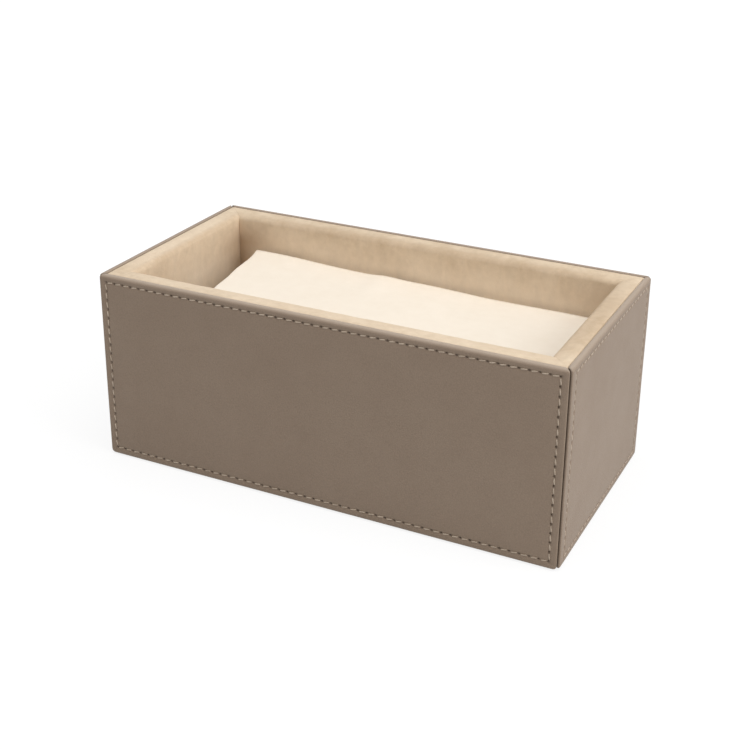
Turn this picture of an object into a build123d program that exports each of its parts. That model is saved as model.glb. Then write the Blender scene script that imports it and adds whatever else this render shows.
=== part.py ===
from build123d import *
import os

# An open box: leather panels over a pinned fibreboard carcass, a padded suede lining, and folded towels lying in it.
# Millimetres, +Z up, the origin on the ground under the middle of the box, the front towards -Y.

# Overall size
box_width = 250.0
box_depth = 127.0
box_height = 102.0

# Leather side panels: card with leather wrapped over its face and edges and turned in behind, mitred at the corners
panel_thickness = 3.0
leather_thickness = 0.8
turn_in_width = 10.0
turn_in_thickness = 0.5
panel_edge_roll = 1.8
panel_ground_gap = 0.5
panel_joint_gap = 0.4

# Stitched border of each panel
stitch_pitch = 4.87
stitch_length = 3.2
thread_width = 0.8
thread_height = 0.5
thread_sink = 0.2
needle_hole_diameter = 0.9
long_stitch_end_margin = 4.5
short_stitch_end_margin = 6.8
long_stitch_top_margin = 3.7
short_stitch_top_margin = 3.4
stitch_bottom_margin = 4.2

# Fibreboard carcass and its headless nails
core_thickness = 8.0
floor_thickness = 6.0
brad_diameter = 1.4
brad_length = 18.0
brads_per_corner = 3
brads_per_long_wall = 4
brads_per_short_wall = 2

# Padded suede lining, and the sheet under the box
pad_thickness = 1.8
suede_thickness = 1.2
rim_inner_radius = 3.0
suede_tuck_depth = 12.0
floor_pad_thickness = 1.5
floor_suede_thickness = 1.0
base_cover_thickness = 1.5

# Pile of folded towels, pushed to the right end of the room inside
towel_count = 8
towel_thickness = 8.8
towel_gap = 0.2
towel_edge_radius = 3.0
towel_corner_radius = 5.0
towel_side_gap = 0.8
towel_right_gap = 3.0
towel_left_room = 14.5

# Sizes that follow from the ones above
carcass_width = box_width - 2 * panel_thickness
carcass_depth = box_depth - 2 * panel_thickness
lining_depth = core_thickness + pad_thickness + suede_thickness
room_width = carcass_width - 2 * lining_depth
room_depth = carcass_depth - 2 * lining_depth
core_bottom = base_cover_thickness
core_top = box_height - suede_thickness - pad_thickness
tuck_bottom = core_top - suede_tuck_depth
core_floor_top = core_bottom + floor_thickness
room_bottom = core_floor_top + floor_pad_thickness + floor_suede_thickness
floor_width = carcass_width - 2 * core_thickness
floor_depth = carcass_depth - 2 * core_thickness
panel_height = box_height - panel_ground_gap
panel_middle = panel_ground_gap + panel_height / 2

# The outer face of each side, seen from outside: x along the side, y up, z outwards
up = Vector(0, 0, 1)
side_faces = {
    "front": Plane(origin=(0, -box_depth / 2, 0), x_dir=(1, 0, 0), z_dir=(0, -1, 0)),
    "back": Plane(origin=(0, box_depth / 2, 0), x_dir=(-1, 0, 0), z_dir=(0, 1, 0)),
    "left": Plane(origin=(-box_width / 2, 0, 0), x_dir=(0, -1, 0), z_dir=(-1, 0, 0)),
    "right": Plane(origin=(box_width / 2, 0, 0), x_dir=(0, 1, 0), z_dir=(1, 0, 0)),
}
long_sides = ("front", "back")


def panel_width_of(side):
    """The width of a side's panel at its face: corner to corner, less half a joint's gap at each end."""
    return (box_width if side in long_sides else box_depth) - panel_joint_gap


def carcass_length_of(side):
    """The length of a side's carcass face, corner to corner."""
    return carcass_width if side in long_sides else carcass_depth


def section_plane(side):
    """A plane square to a side's length: x inwards from the outer face, y up."""
    inwards = -side_faces[side].z_dir
    return Plane(origin=side_faces[side].origin, x_dir=inwards, z_dir=inwards.cross(up))


def plan_plane(side):
    """A level plane on the ground: x along the side, y inwards from the carcass's outer face."""
    inwards = -side_faces[side].z_dir
    start = side_faces[side].origin + inwards * panel_thickness
    return Plane(origin=start, x_dir=inwards.cross(up), z_dir=up)


def spaced(count, low, high):
    """The middles of count equal steps from low to high."""
    step = (high - low) / count
    return [low + step * (i + 0.5) for i in range(count)]


def stitch_lines(side):
    """The four lines of a panel's stitched border in its face: start, end and turn in degrees."""
    end_margin = long_stitch_end_margin if side in long_sides else short_stitch_end_margin
    top_margin = long_stitch_top_margin if side in long_sides else short_stitch_top_margin
    half = panel_width_of(side) / 2 - end_margin
    low = panel_ground_gap + stitch_bottom_margin
    high = box_height - top_margin
    corners = [Vector(-half, low), Vector(half, low), Vector(half, high), Vector(-half, high)]
    turns = [0, 90, 180, 270]
    return [(corners[i], corners[(i + 1) % 4], turns[i]) for i in range(4)]


def stitch_places(side):
    """Where a panel's stitches lie: the middle and turn of each."""
    places = []
    for start, end, turn in stitch_lines(side):
        count = round((end - start).length / stitch_pitch)
        for share in spaced(count, 0, 1):
            middle = start + (end - start) * share
            places.append(Location((middle.X, middle.Y, 0), (0, 0, turn)))
    return places


def needle_places(side):
    """Where a panel's needle holes are: one between each stitch and the next."""
    places = []
    for start, end, _ in stitch_lines(side):
        count = round((end - start).length / stitch_pitch)
        for i in range(count):
            place = start + (end - start) * (i / count)
            places.append((place.X, place.Y))
    return places


def panel_outline(side, end_wrap):
    """A panel in plan, mitred at both ends, with each end drawn back by what is wrapped round it."""
    half = panel_width_of(side) / 2 - end_wrap
    inner_half = half - panel_thickness
    with BuildSketch(plan_plane(side)) as outline:
        with BuildLine():
            Polyline(
                (-half, -panel_thickness), (half, -panel_thickness), (inner_half, 0), (-inner_half, 0), close=True
            )
        make_face()
    return outline.sketch


def make_board(side):
    """A panel's card: rounded towards its face, mitred, with a rebate behind for the leather's turn-ins."""
    face = side_faces[side]
    board_width = panel_width_of(side) - 2 * leather_thickness
    board_height = panel_height - 2 * leather_thickness
    with BuildPart() as board:
        with BuildSketch(face.offset(-leather_thickness)):
            with Locations((0, panel_middle)):
                Rectangle(board_width, board_height)
        extrude(amount=leather_thickness - panel_thickness)
        face_edges = board.faces().sort_by(Axis(face.origin, face.z_dir))[-1].edges()
        fillet(face_edges, panel_edge_roll - leather_thickness)
        extrude(panel_outline(side, leather_thickness), amount=box_height, mode=Mode.INTERSECT)
        with BuildSketch(face.offset(-panel_thickness)):
            with Locations((0, panel_middle)):
                Rectangle(panel_width_of(side), panel_height)
                Rectangle(board_width - 2 * turn_in_width, board_height - 2 * turn_in_width, mode=Mode.SUBTRACT)
        extrude(amount=turn_in_thickness, mode=Mode.SUBTRACT)
    return board


def make_stitching(side):
    """A panel's stitches, each a short flat-sided bar of thread, pressed a little into the leather."""
    with BuildPart() as stitching:
        with BuildSketch(side_faces[side].offset(-thread_sink)):
            with Locations(*stitch_places(side)):
                SlotOverall(stitch_length, thread_width)
        extrude(amount=thread_height)
    return stitching


def make_leather(side, board, stitching):
    """A panel's leather: the rolled outer form less the card, the beds of the stitches and the needle holes."""
    face = side_faces[side]
    with BuildPart() as leather:
        with BuildSketch(face):
            with Locations((0, panel_middle)):
                Rectangle(panel_width_of(side), panel_height)
        extrude(amount=-panel_thickness)
        face_edges = leather.faces().sort_by(Axis(face.origin, face.z_dir))[-1].edges()
        fillet(face_edges, panel_edge_roll)
        extrude(panel_outline(side, 0), amount=box_height, mode=Mode.INTERSECT)
        add(board.part, mode=Mode.SUBTRACT)
        add(stitching.part, mode=Mode.SUBTRACT)
        with BuildSketch(face):
            with Locations(*needle_places(side)):
                Circle(needle_hole_diameter / 2)
        extrude(amount=-leather_thickness, mode=Mode.SUBTRACT)
    return leather


def make_brads():
    """The carcass's nails: through the long walls into the short walls' ends, and through each wall into the floor."""
    end_grain = carcass_width / 2 - core_thickness / 2
    floor_middle = core_bottom + floor_thickness / 2
    corner_heights = spaced(brads_per_corner, core_bottom, tuck_bottom)
    corner_places = [(x, z) for x in (-end_grain, end_grain) for z in corner_heights]
    long_places = [(x, floor_middle) for x in spaced(brads_per_long_wall, -floor_width / 2, floor_width / 2)]
    short_places = [(y, floor_middle) for y in spaced(brads_per_short_wall, -floor_depth / 2, floor_depth / 2)]
    with BuildPart() as brads:
        for side, face in side_faces.items():
            places = corner_places + long_places if side in long_sides else short_places
            with BuildSketch(face.offset(-panel_thickness)):
                with Locations(*places):
                    Circle(brad_diameter / 2)
            extrude(amount=-brad_length)
    return brads


def make_core_wall(side, brads):
    """A carcass wall: the long walls run corner to corner, the short ones between them, rebated for the suede's tuck."""
    shortening = 0 if side in long_sides else 2 * core_thickness
    with BuildPart() as wall:
        with BuildSketch(plan_plane(side).offset(core_bottom)):
            with Locations((0, core_thickness / 2)):
                Rectangle(carcass_length_of(side) - shortening, core_thickness)
        extrude(amount=core_top - core_bottom)
        with BuildSketch(Plane.XY.offset(tuck_bottom)):
            Rectangle(carcass_width, carcass_depth)
            Rectangle(
                carcass_width - 2 * suede_thickness, carcass_depth - 2 * suede_thickness, mode=Mode.SUBTRACT
            )
        extrude(amount=suede_tuck_depth, mode=Mode.SUBTRACT)
        add(brads.part, mode=Mode.SUBTRACT)
    return wall


def make_core_floor(brads):
    """The carcass's floor, between the walls."""
    with BuildPart() as floor:
        with BuildSketch(Plane.XY.offset(core_bottom)):
            Rectangle(floor_width, floor_depth)
        extrude(amount=floor_thickness)
        add(brads.part, mode=Mode.SUBTRACT)
    return floor


def mitre_outline(side):
    """A side's share of the rim in plan, mitred at both corners."""
    half = carcass_length_of(side) / 2
    inner_half = half - lining_depth
    with BuildSketch(plan_plane(side)) as outline:
        with BuildLine():
            Polyline((-half, 0), (half, 0), (inner_half, lining_depth), (-inner_half, lining_depth), close=True)
        make_face()
    return outline.sketch


# The lining's section: distances inwards from the box's outer face
tuck_inner = panel_thickness + suede_thickness
core_inner = panel_thickness + core_thickness
pad_inner = core_inner + pad_thickness
suede_inner = pad_inner + suede_thickness
rim_round_start = suede_inner - rim_inner_radius
rim_round_end = box_height - rim_inner_radius
pad_radius = rim_inner_radius - suede_thickness
pad_top = box_height - suede_thickness


def make_rim_pad(side):
    """The foam over a wall's top edge and inner face, rounded over towards the room."""
    with BuildPart() as pad:
        with BuildSketch(section_plane(side)):
            with BuildLine():
                Polyline(
                    (rim_round_start, pad_top), (tuck_inner, pad_top), (tuck_inner, core_top),
                    (core_inner, core_top), (core_inner, core_floor_top), (pad_inner, core_floor_top),
                    (pad_inner, rim_round_end),
                )
                RadiusArc((rim_round_start, pad_top), (pad_inner, rim_round_end), pad_radius)
            make_face()
        extrude(amount=carcass_length_of(side) / 2, both=True)
        extrude(mitre_outline(side), amount=box_height, mode=Mode.INTERSECT)
    return pad


def make_lining(side):
    """A wall's suede: down the inner face, over the padded rim, and tucked down behind the leather panel."""
    with BuildPart() as lining:
        with BuildSketch(section_plane(side)):
            with BuildLine():
                Polyline(
                    (pad_inner, rim_round_end), (pad_inner, core_floor_top), (suede_inner, core_floor_top),
                    (suede_inner, rim_round_end),
                )
                RadiusArc((rim_round_start, box_height), (suede_inner, rim_round_end), rim_inner_radius)
                Line((rim_round_start, box_height), (tuck_inner, box_height))
                RadiusArc((panel_thickness, pad_top), (tuck_inner, box_height), suede_thickness)
                Polyline(
                    (panel_thickness, pad_top), (panel_thickness, tuck_bottom), (tuck_inner, tuck_bottom),
                    (tuck_inner, pad_top), (rim_round_start, pad_top),
                )
                RadiusArc((rim_round_start, pad_top), (pad_inner, rim_round_end), pad_radius)
            make_face()
        extrude(amount=carcass_length_of(side) / 2, both=True)
        extrude(mitre_outline(side), amount=box_height, mode=Mode.INTERSECT)
    return lining


def make_level_sheet(width, depth, bottom, thickness):
    """A plain level sheet, centred on the box."""
    with BuildPart() as sheet:
        with BuildSketch(Plane.XY.offset(bottom)):
            Rectangle(width, depth)
        extrude(amount=thickness)
    return sheet


def make_towel(place_in_pile):
    """A folded towel's outer form, at its height in the pile."""
    length = room_width - towel_left_room - towel_right_gap
    width = room_depth - 2 * towel_side_gap
    middle = (towel_left_room - towel_right_gap) / 2
    bottom = room_bottom + towel_gap + place_in_pile * (towel_thickness + towel_gap)
    with BuildPart() as towel:
        with BuildSketch(Plane.XY.offset(bottom)):
            with Locations((middle, 0)):
                RectangleRounded(length, width, towel_corner_radius)
        extrude(amount=towel_thickness)
        level_edges = towel.faces().sort_by(Axis.Z)[0].edges() + towel.faces().sort_by(Axis.Z)[-1].edges()
        fillet(level_edges, towel_edge_radius)
    return towel


os.makedirs("parts", exist_ok=True)


def keep(piece, name):
    """Labels a finished piece and writes it."""
    piece.part.label = name
    export_step(piece.part, f"parts/{name}.step")


core_brads = make_brads()
keep(core_brads, "core_brads")
keep(make_core_floor(core_brads), "core_floor")
for side in side_faces:
    board = make_board(side)
    stitching = make_stitching(side)
    keep(board, f"{side}_board")
    keep(stitching, f"{side}_stitching")
    keep(make_leather(side, board, stitching), f"{side}_leather")
    keep(make_core_wall(side, core_brads), f"core_{side}")
    keep(make_rim_pad(side), f"{side}_rim_pad")
    keep(make_lining(side), f"{side}_lining")
keep(make_level_sheet(room_width, room_depth, core_floor_top, floor_pad_thickness), "floor_pad")
floor_lining_bottom = core_floor_top + floor_pad_thickness
keep(make_level_sheet(room_width, room_depth, floor_lining_bottom, floor_suede_thickness), "floor_lining")
keep(make_level_sheet(carcass_width, carcass_depth, 0, base_cover_thickness), "base_cover")
for place_in_pile in range(towel_count):
    keep(make_towel(place_in_pile), f"towel_{place_in_pile + 1}")
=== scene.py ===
import bpy
import numpy as np
from mathutils import Matrix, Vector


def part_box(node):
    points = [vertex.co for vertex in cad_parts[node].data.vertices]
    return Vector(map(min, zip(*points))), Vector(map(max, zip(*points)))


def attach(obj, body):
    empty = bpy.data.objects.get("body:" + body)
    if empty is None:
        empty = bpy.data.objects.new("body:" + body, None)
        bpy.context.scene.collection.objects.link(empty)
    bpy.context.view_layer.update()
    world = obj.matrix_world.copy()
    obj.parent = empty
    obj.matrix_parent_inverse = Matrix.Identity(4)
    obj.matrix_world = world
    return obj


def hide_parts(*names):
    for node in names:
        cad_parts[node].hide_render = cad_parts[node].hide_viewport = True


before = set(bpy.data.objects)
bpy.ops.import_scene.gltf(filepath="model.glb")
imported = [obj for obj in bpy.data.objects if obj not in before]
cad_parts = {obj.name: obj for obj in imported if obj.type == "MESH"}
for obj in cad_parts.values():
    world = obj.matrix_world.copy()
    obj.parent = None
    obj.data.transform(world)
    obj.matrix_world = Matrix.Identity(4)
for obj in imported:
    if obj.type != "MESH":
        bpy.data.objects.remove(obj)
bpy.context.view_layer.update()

# The look of an open leather box with stitched panels, a padded suede lining and folded guest towels.
# Sizes are in millimetres in the part's own frame, and become metres where a mesh is made.
# Angles are in degrees.
MM = 0.001
TINY = 1e-6

# Overall size, and how far pieces lie inside the outer face of a wall
BOX_WIDTH = 250.0
BOX_DEPTH = 127.0
BOX_TOP = 102.0
PANEL_THICKNESS = 3.0
LINING_REACH = 14.0
SIDES = ("front", "back", "left", "right")
LONG_SIDES = ("front", "back")

# Leather panels: cover, corners, rolled edges, mitres, and how much painted highlight each panel's rolled
# edges carry
LEATHER_THICKNESS = 0.8
TURN_IN_WIDTH = 10.0
TURN_IN_THICKNESS = 0.5
PANEL_JOINT_GAP = 0.4
PANEL_CORNER_RADIUS = 1.35
PANEL_FOOT_RADIUS = 2.4
EDGE_ROLL = 1.6
BACK_ROLL = 0.5
MITRE_REACH = 16.0
EDGE_HIGHLIGHT = {"front": 1.0, "back": 0.6, "left": 0.5, "right": 1.0}
SIDE_HIGHLIGHT = 0.2

# Long and short panels: end roll, turn where a joint's painted shade starts, stitch margins and count, holes,
# thread
LONG_PANEL = {
    "end_roll": 1.5, "joint_shade_turn": 50.0, "end": 4.5, "top": 3.7, "bottom": 4.2,
    "wide_count": 49, "pit_depth": 0.75, "thread_height": 0.30,
}
SHORT_PANEL = {
    "end_roll": 2.4, "joint_shade_turn": 15.0, "end": 6.8, "top": 3.4, "bottom": 4.2,
    "wide_count": 23, "pit_depth": 0.35, "thread_height": 0.17,
}

# Relief of the leather: swollen border and face, the valley along the stitches, needle holes, unevenness
BORDER_SWELL = 0.12
BORDER_SWELL_PLACE = 1.9
BORDER_SWELL_WIDTH = 1.3
FACE_SWELL = 0.14
FACE_SWELL_REACH = 5.0
STITCH_VALLEY = 0.18
STITCH_VALLEY_WIDTH = 0.85
NEEDLE_PIT_LENGTH = 0.60
NEEDLE_PIT_WIDTH = 0.48
LEATHER_WAVES = (210.0, 130.0, 77.0, 46.0)
LEATHER_WAVE_HEIGHT = 0.10
LEATHER_SEED = 11

# Places of the leather mesh's points: near needle holes, in the middle grid, on rings, and round edges
STITCH_SAMPLES = (0.0, 0.22, 0.5, 1.2)
CORNER_STITCHES = 3
MIDDLE_INSET = 8.0
MIDDLE_STEP = 4
FACE_RINGS = ((5.4, 2), (3.4, 1), (2.3, 1), (1.5, 1), (1.0, 1), (0.7, 1), (0.45, 1), (0.22, 1))
BORDER_RINGS = (0.0, 0.22, 0.45, 0.7)
BORDER_SHARES = (0.5, 1.0)
ROLL_TURNS = (15, 30, 45, 60, 75, 90)
BACK_TURNS = (0, 30, 60, 90)
INSIDE_TURNS = (90, 45, 0)

# Thread
TALL_STITCHES = 19
THREAD_HALF_LENGTH = 1.75
THREAD_HALF_WIDTH = 0.33
THREAD_CENTRE = -0.05
THREAD_HEIGHT_SPREAD = 0.04
THREAD_DIP = 0.8
THREAD_DIP_POWER = 7
THREAD_SLANT = 0.24
THREAD_SLANT_SPREAD = 0.05
THREAD_TAPER = 0.35
THREAD_TAPER_POWER = 6
THREAD_LOBE = 0.13
THREAD_TWIST = 5.0
THREAD_SIDES = 8
THREAD_RINGS = 8
THREAD_SEED = 21

# Suede lining and the foam under it
SUEDE_THICKNESS = 1.2
FOAM_THICKNESS = 1.8
FOAM_CLEARANCE = 0.05
RIM_OUTER_RADIUS = 1.5
RIM_INNER_RADIUS = 3.0
SHARPEST_RADIUS = 0.1
RIM_CROWN = 0.55
RIM_CROWN_PLACE = 6.3
RIM_CROWN_WIDTH = 3.6
CROWN_DROP = 8.0
CROWN_DROP_RUN = 4.0
CROWN_SIDE_RUN = 2.0
SUEDE_FLAP_BOTTOM = 87.0
SUEDE_BOTTOM = 7.6
FLAP_SAMPLES = 4
ROUND_SAMPLES = 8
RIM_SAMPLES = 9
DROP_SAMPLES = 30
CORNER_SAMPLES = (0.0, 0.4, 0.9, 1.6, 2.6, 4.0, 5.8)
CORNER_SAMPLE_GAP = 1.2

# Unevenness of the suede, and its crease and swell beside the inner corners
SUEDE_WAVES = (61.0, 37.0, 23.0, 14.0)
SUEDE_WAVE_HEIGHT = 0.30
SUEDE_WAVE_RUN = 4.0
SUEDE_SEED = 31
WALL_INWARD = 10.0
WALL_DROP = 1.5
WALL_RUN = 4.0
CORNER_CREASE = 0.08
CORNER_CREASE_WIDTH = 1.3
CORNER_SWELL = 0.15
CORNER_SWELL_PLACE = 3.6
CORNER_SWELL_WIDTH = 2.6
CORNER_CALM = 3.0

# Shares of painted light and painted shade in the suede's colour on rims and walls, and where painted light
# lifts the low walls beside the towels
RIM_PAINTED_LIGHT = {"front": 0.27, "back": 0.0, "left": 0.46, "right": 0.0}
WALL_PAINTED_LIGHT = {"front": 0.17, "back": 0.41, "left": 0.28, "right": 0.17}
CORNER_PAINTED_LIGHT = 0.10
SIDE_PAINTED_SHADE = {"front": 0.0, "back": 0.0, "left": 0.07, "right": 0.22}
PAINT_CORNER_REACH = 22.0
PAINT_WALL_DROP = 3.0
PAINT_WALL_RUN = 12.0
RIM_EDGE_PAINTED_SHADE = {"front": 0.0, "back": 0.28, "left": 0.28, "right": 0.22}
RIM_EDGE_START = {"front": LINING_REACH, "back": 8.0, "left": 9.4, "right": 8.0}
RIM_EDGE_RUN = 3.5
RIM_EDGE_DROP = 4.0
RIM_EDGE_DROP_RUN = 2.5
RIM_EDGE_CORNER_FADE = 0.6
CORNER_DARK = {"front": (0.75, 0.25), "back": (0.25, 0.68), "left": (0.54, 0.50), "right": (0.50, 0.50)}
CORNER_DARK_REACH = {"front": 20.0, "back": 20.0, "left": 27.0, "right": 20.0}
CORNER_DARK_LOW_LIGHT_FADE = 0.5
# Painted light low on the walls beside the towels, where their shade falls
LOW_LIGHT_TOP = {"front": 88.0, "back": 88.0, "left": 82.0, "right": 88.0}
LOW_LIGHT_REACH = 9.0
LOW_LIGHT_CORNER = 12.0

# Floor suede, floor foam and base felt
SLAB_STEP = 3.0
SLAB_EDGE_SAMPLES = 6
SLAB_WAVES = (70.0, 41.0, 26.0)
SLAB_SEED = 51
FLOOR_SOFT_EDGE = 0.5
FLOOR_SUEDE_WAVE = 0.08
BASE_SOFT_EDGE = 0.7

# Folded towels
TOWEL_COUNT = 8
TOWEL_LAYER = 1.46
TOWEL_CLOTH = 1.0
TOWEL_PITCH = 9.0
TOWEL_RIGHT = 107.0
TOWEL_RIGHT_SPREAD = (-1.5, 0.5)
TOWEL_LEFT = -92.0
TOWEL_LEAN_SPREAD = (-2.5, 0.5)
TOP_TOWEL_LEFT = -88.9
TOP_TOWEL_LEAN = -8.2
TOWEL_LEAN_START = -25.0
TOWEL_HALF_DEPTH = 47.6
TOWEL_DEPTH_SPREAD = (-0.5, 0.5)
FOLD_REACH = 1.5 * TOWEL_LAYER
FOLD_STEPS = 8
TOWEL_STEP = 4.0
TOP_TOWEL_STEP = 1.8
TOWEL_SEED = 300

# Unevenness of the towels' long edges and left ends: heights and lengths of waves
TOWEL_EDGE_POWER = 6
TOWEL_EDGE_WAVES = (64.0, 38.0, 21.0)
TOWEL_EDGE_WAVE_HEIGHT = 0.9
TOWEL_EDGE_LAYER_STRETCH = 9
TOWEL_EDGE_SEED = 40
LEFT_EDGE_WAVES = ((0.7, 11.0), (0.4, 5.3))
LEFT_EDGE_PHASE = 6
LEFT_EDGE_SEED = 500

# How the pile of towels lies, as shares of its height
PILE_BOTTOM = 10.2
PILE_LIFT = 1.034
PILE_LIFT_DROP = 0.058
PILE_LIFT_POWER = 0.8
RIPPLE_HEIGHT = 0.0035
RIPPLE_LENGTH = 13.0
RIPPLE_PHASE = 0.9
HUMP_HEIGHT = 0.010
HUMP_PLACE = -15.6
HUMP_WIDTH = 8.0
RIPPLE_DEPTH = 30.0
RIPPLE_FRONT_SHARE = -0.4
PILE_WAVES = (120.0, 83.0, 52.0)
PILE_WAVE_HEIGHT = 0.004
PILE_SEED = 71

# Node groups: ranges, scales of further patterns beside the first, and how grain and nap are bent and drawn
UNIT = (0.0, 1.0)
SINE_RANGE = (-1.0, 1.0)
CLOUD_FINE = 5.3
CLOUD_STRETCH = (0.72, 1.28)
GRAIN_BEND = 0.4
GRAIN_BEND_REACH = 1.1
GRAIN_FINE = 2.6
GRAIN_CREASE_STRETCH = (0.0, 0.16)
NAP_DRAWN = (1.0, 1.0, 0.45)
NAP_PATCH = 0.06
NAP_PATCH_STRETCH = (0.33, 0.67)

# Leather finish: colours as red, green and blue, scales per metre, bumps as depth in millimetres and strength
LEATHER_TONES = ((0.264, 0.193, 0.138), (0.280, 0.207, 0.149))
LEATHER_CREASE = (0.15, 0.104, 0.072)
LEATHER_CREASE_SHARE = 0.22
# Painted highlight on the rolled edges, strongest on the top edges
LEATHER_HIGHLIGHT = (0.44, 0.355, 0.28)
LEATHER_HIGHLIGHT_SHARE = 0.75
# Painted shade on the panels' rolled ends, where the joints between them lie in shade
LEATHER_JOINT_SHADE = (0.05, 0.034, 0.024)
LEATHER_JOINT_SHADE_SHARE = 0.85
# Painted shade in the needle holes, much less on the short panels
NEEDLE_HOLE_SHADE = (0.06, 0.040, 0.028)
LONG_HOLE_SHADE_SHARE = 0.82
SHORT_HOLE_SHADE_SHARE = 0.15
LEATHER_CLOUD_SCALE = 14.0
LEATHER_GRAIN_SCALE = 900.0
LEATHER_ROUGH = (0.53, 0.49)
LEATHER_BUMP = (0.12, 0.35)

# Suede finish
SUEDE_TONES = ((0.60, 0.462, 0.318), (0.72, 0.578, 0.422))
SUEDE_PATCH = (0.76, 0.625, 0.468)
SUEDE_PATCH_SHARE = 0.35
# Colours of the painted light and painted shade on the walls' suede
SUEDE_PAINTED_LIGHT = (0.88, 0.74, 0.575)
SUEDE_PAINTED_SHADE = (0.36, 0.222, 0.118)
SUEDE_MOTTLE = (0.967, 1.033)
SUEDE_SHEEN = (1.0, 0.92, 0.80, 1)
SUEDE_CLOUD_SCALE = 55.0
SUEDE_NAP_SCALE = 1500.0
SUEDE_MOTTLE_SCALE = 3600.0
SUEDE_BUMP = (0.4, 0.35)

# Thread and towel finishes
LONG_THREAD_TONES = ((0.44, 0.355, 0.272), (0.54, 0.445, 0.35))
# The short panels' thread is a touch paler: painted light against the shade on their upright stitches
SHORT_THREAD_LIGHTENED_TONES = ((0.46, 0.372, 0.29), (0.54, 0.443, 0.352))
THREAD_NAP_SCALE = 5000.0
THREAD_BUMP = (0.08, 0.5)
TOWEL_TONES = ((0.885, 0.795, 0.675), (0.915, 0.83, 0.715))
TOWEL_WEAVE = (0.70, 0.60, 0.48)
TOWEL_WEAVE_SHARES = (0.0, 0.10)
TOWEL_WEAVE_SCALE = 7400.0
TOWEL_CLOUD_SCALE = 30.0
TOWEL_NAP_SCALE = 1800.0
TOWEL_BUMP = (0.2, 0.25)

# Plain finishes: two tones of fibre, the scale of its pattern, roughness and metal
PLAIN_FINISHES = {
    "base_felt": ((0.10, 0.078, 0.06), (0.26, 0.21, 0.165), 900.0, 0.95, 0.0),
    "card": ((0.38, 0.35, 0.31), (0.52, 0.49, 0.44), 700.0, 0.85, 0.0),
    "fibreboard": ((0.36, 0.26, 0.165), (0.56, 0.44, 0.31), 500.0, 0.8, 0.0),
    "foam": ((0.74, 0.70, 0.61), (0.92, 0.89, 0.82), 1100.0, 0.95, 0.0),
    "brad_steel": ((0.45, 0.45, 0.46), (0.62, 0.62, 0.63), 1600.0, 0.4, 1.0),
}
PLAIN_BUMP = (0.2, 0.3)

# Floor, light and camera: lamps have a place, the size of a side and a power in watts
WHITE = (1, 1, 1, 1)
FLOOR_HALF = 4000.0
FLOOR_LIT = (0.82, 0.82, 0.82, 1)
FLOOR_SEEN = (0.17, 0.17, 0.17, 1)
FLOOR_GLOW = (0.85, 1.0)
FLOOR_GLOW_NEAR = 150.0
FLOOR_GLOW_FAR = 800.0
WORLD_STRENGTH = 0.36
LAMP_TARGET = (0.0, 0.0, 50.0)
LAMPS = {
    "key_from_right": ((1600.0, 0.0, 930.0), 1300.0, 15.5),
    "overhead": ((150.0, -250.0, 1500.0), 1500.0, 15.5),
}
STEEP = 0.9
CAMERA_TURN = 25.960
CAMERA_RISE = 22.315
CAMERA_ROLL = 0.549
CAMERA_BACK = 722.75
CAMERA_RIGHT = 0.480
CAMERA_UP = 81.690
CAMERA_LENS = 64.991
CAMERA_SENSOR = 36.0
CAMERA_SHIFT = -0.1


# Placing and mesh making

def wall_length(side):
    """The length of a wall, corner to corner."""
    return BOX_WIDTH if side in LONG_SIDES else BOX_DEPTH


def place(side, along, inward, up):
    """Points of a wall in the part's frame: along it to the right as seen from outside, inward from its
    face, and up."""
    along, inward, up = np.broadcast_arrays(along, inward, up)
    if side == "front":
        spots = (along, inward - BOX_DEPTH / 2, up)
    elif side == "back":
        spots = (-along, BOX_DEPTH / 2 - inward, up)
    elif side == "right":
        spots = (BOX_WIDTH / 2 - inward, along, up)
    else:
        spots = (inward - BOX_WIDTH / 2, -along, up)
    return np.stack(spots, axis=-1).reshape(-1, 3)


def make_piece(name, points, faces, material, body, replaced):
    """A smooth mesh from points in millimetres, riding on a body and standing for the CAD nodes it
    replaces."""
    mesh = bpy.data.meshes.new(name)
    mesh.from_pydata((np.asarray(points) * MM).tolist(), [], faces)
    mesh.polygons.foreach_set("use_smooth", np.ones(len(mesh.polygons), dtype=bool))
    mesh.materials.append(material)
    piece = bpy.data.objects.new(name, mesh)
    bpy.context.scene.collection.objects.link(piece)
    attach(piece, body)
    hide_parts(*replaced)
    return piece


def give_values(piece, name, values):
    """A number at each point of a mesh, for its material to read."""
    layer = piece.data.attributes.new(name, "FLOAT", "POINT")
    layer.data.foreach_set("value", np.asarray(values, dtype=np.float32).ravel())


def give_cloth_map(piece, across, along):
    """A UV map in metres of flat cloth, from each point's place on the sheet."""
    corners = np.empty(len(piece.data.loops), dtype=np.int32)
    piece.data.loops.foreach_get("vertex_index", corners)
    spots = np.stack([across.ravel(), along.ravel()], axis=-1) * MM
    layer = piece.data.uv_layers.new(name="cloth")
    layer.data.foreach_set("uv", spots[corners].astype(np.float32).ravel())


def grid_quads(index, closed=False):
    """Quads between neighbouring rows of an index grid, and round each row as well where it is
    closed."""
    if closed:
        index = np.concatenate([index, index[:, :1]], axis=1)
    quads = [index[:-1, :-1], index[:-1, 1:], index[1:, 1:], index[1:, :-1]]
    return np.stack(quads, axis=-1).reshape(-1, 4)


def soft_waves(across, along, seed, lengths, height):
    """Gentle unevenness: the mean of sine waves, one of each wavelength, each with its own seeded
    direction and phase."""
    draw = np.random.default_rng(seed)
    total = np.zeros(np.broadcast(across, along).shape)
    for length in lengths:
        turn, phase = draw.uniform(0, 2 * np.pi, 2)
        total += np.sin(2 * np.pi * (across * np.cos(turn) + along * np.sin(turn)) / length + phase)
    return height * total / len(lengths)


def bell(distance, width):
    """A smooth hump of height 1 that has fallen to 1/e at the given width."""
    return np.exp(-(distance / width) ** 2)


def ramp(value, run):
    """A value's share of a run, held between 0 and 1."""
    return np.clip(value / run, 0, 1)


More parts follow.
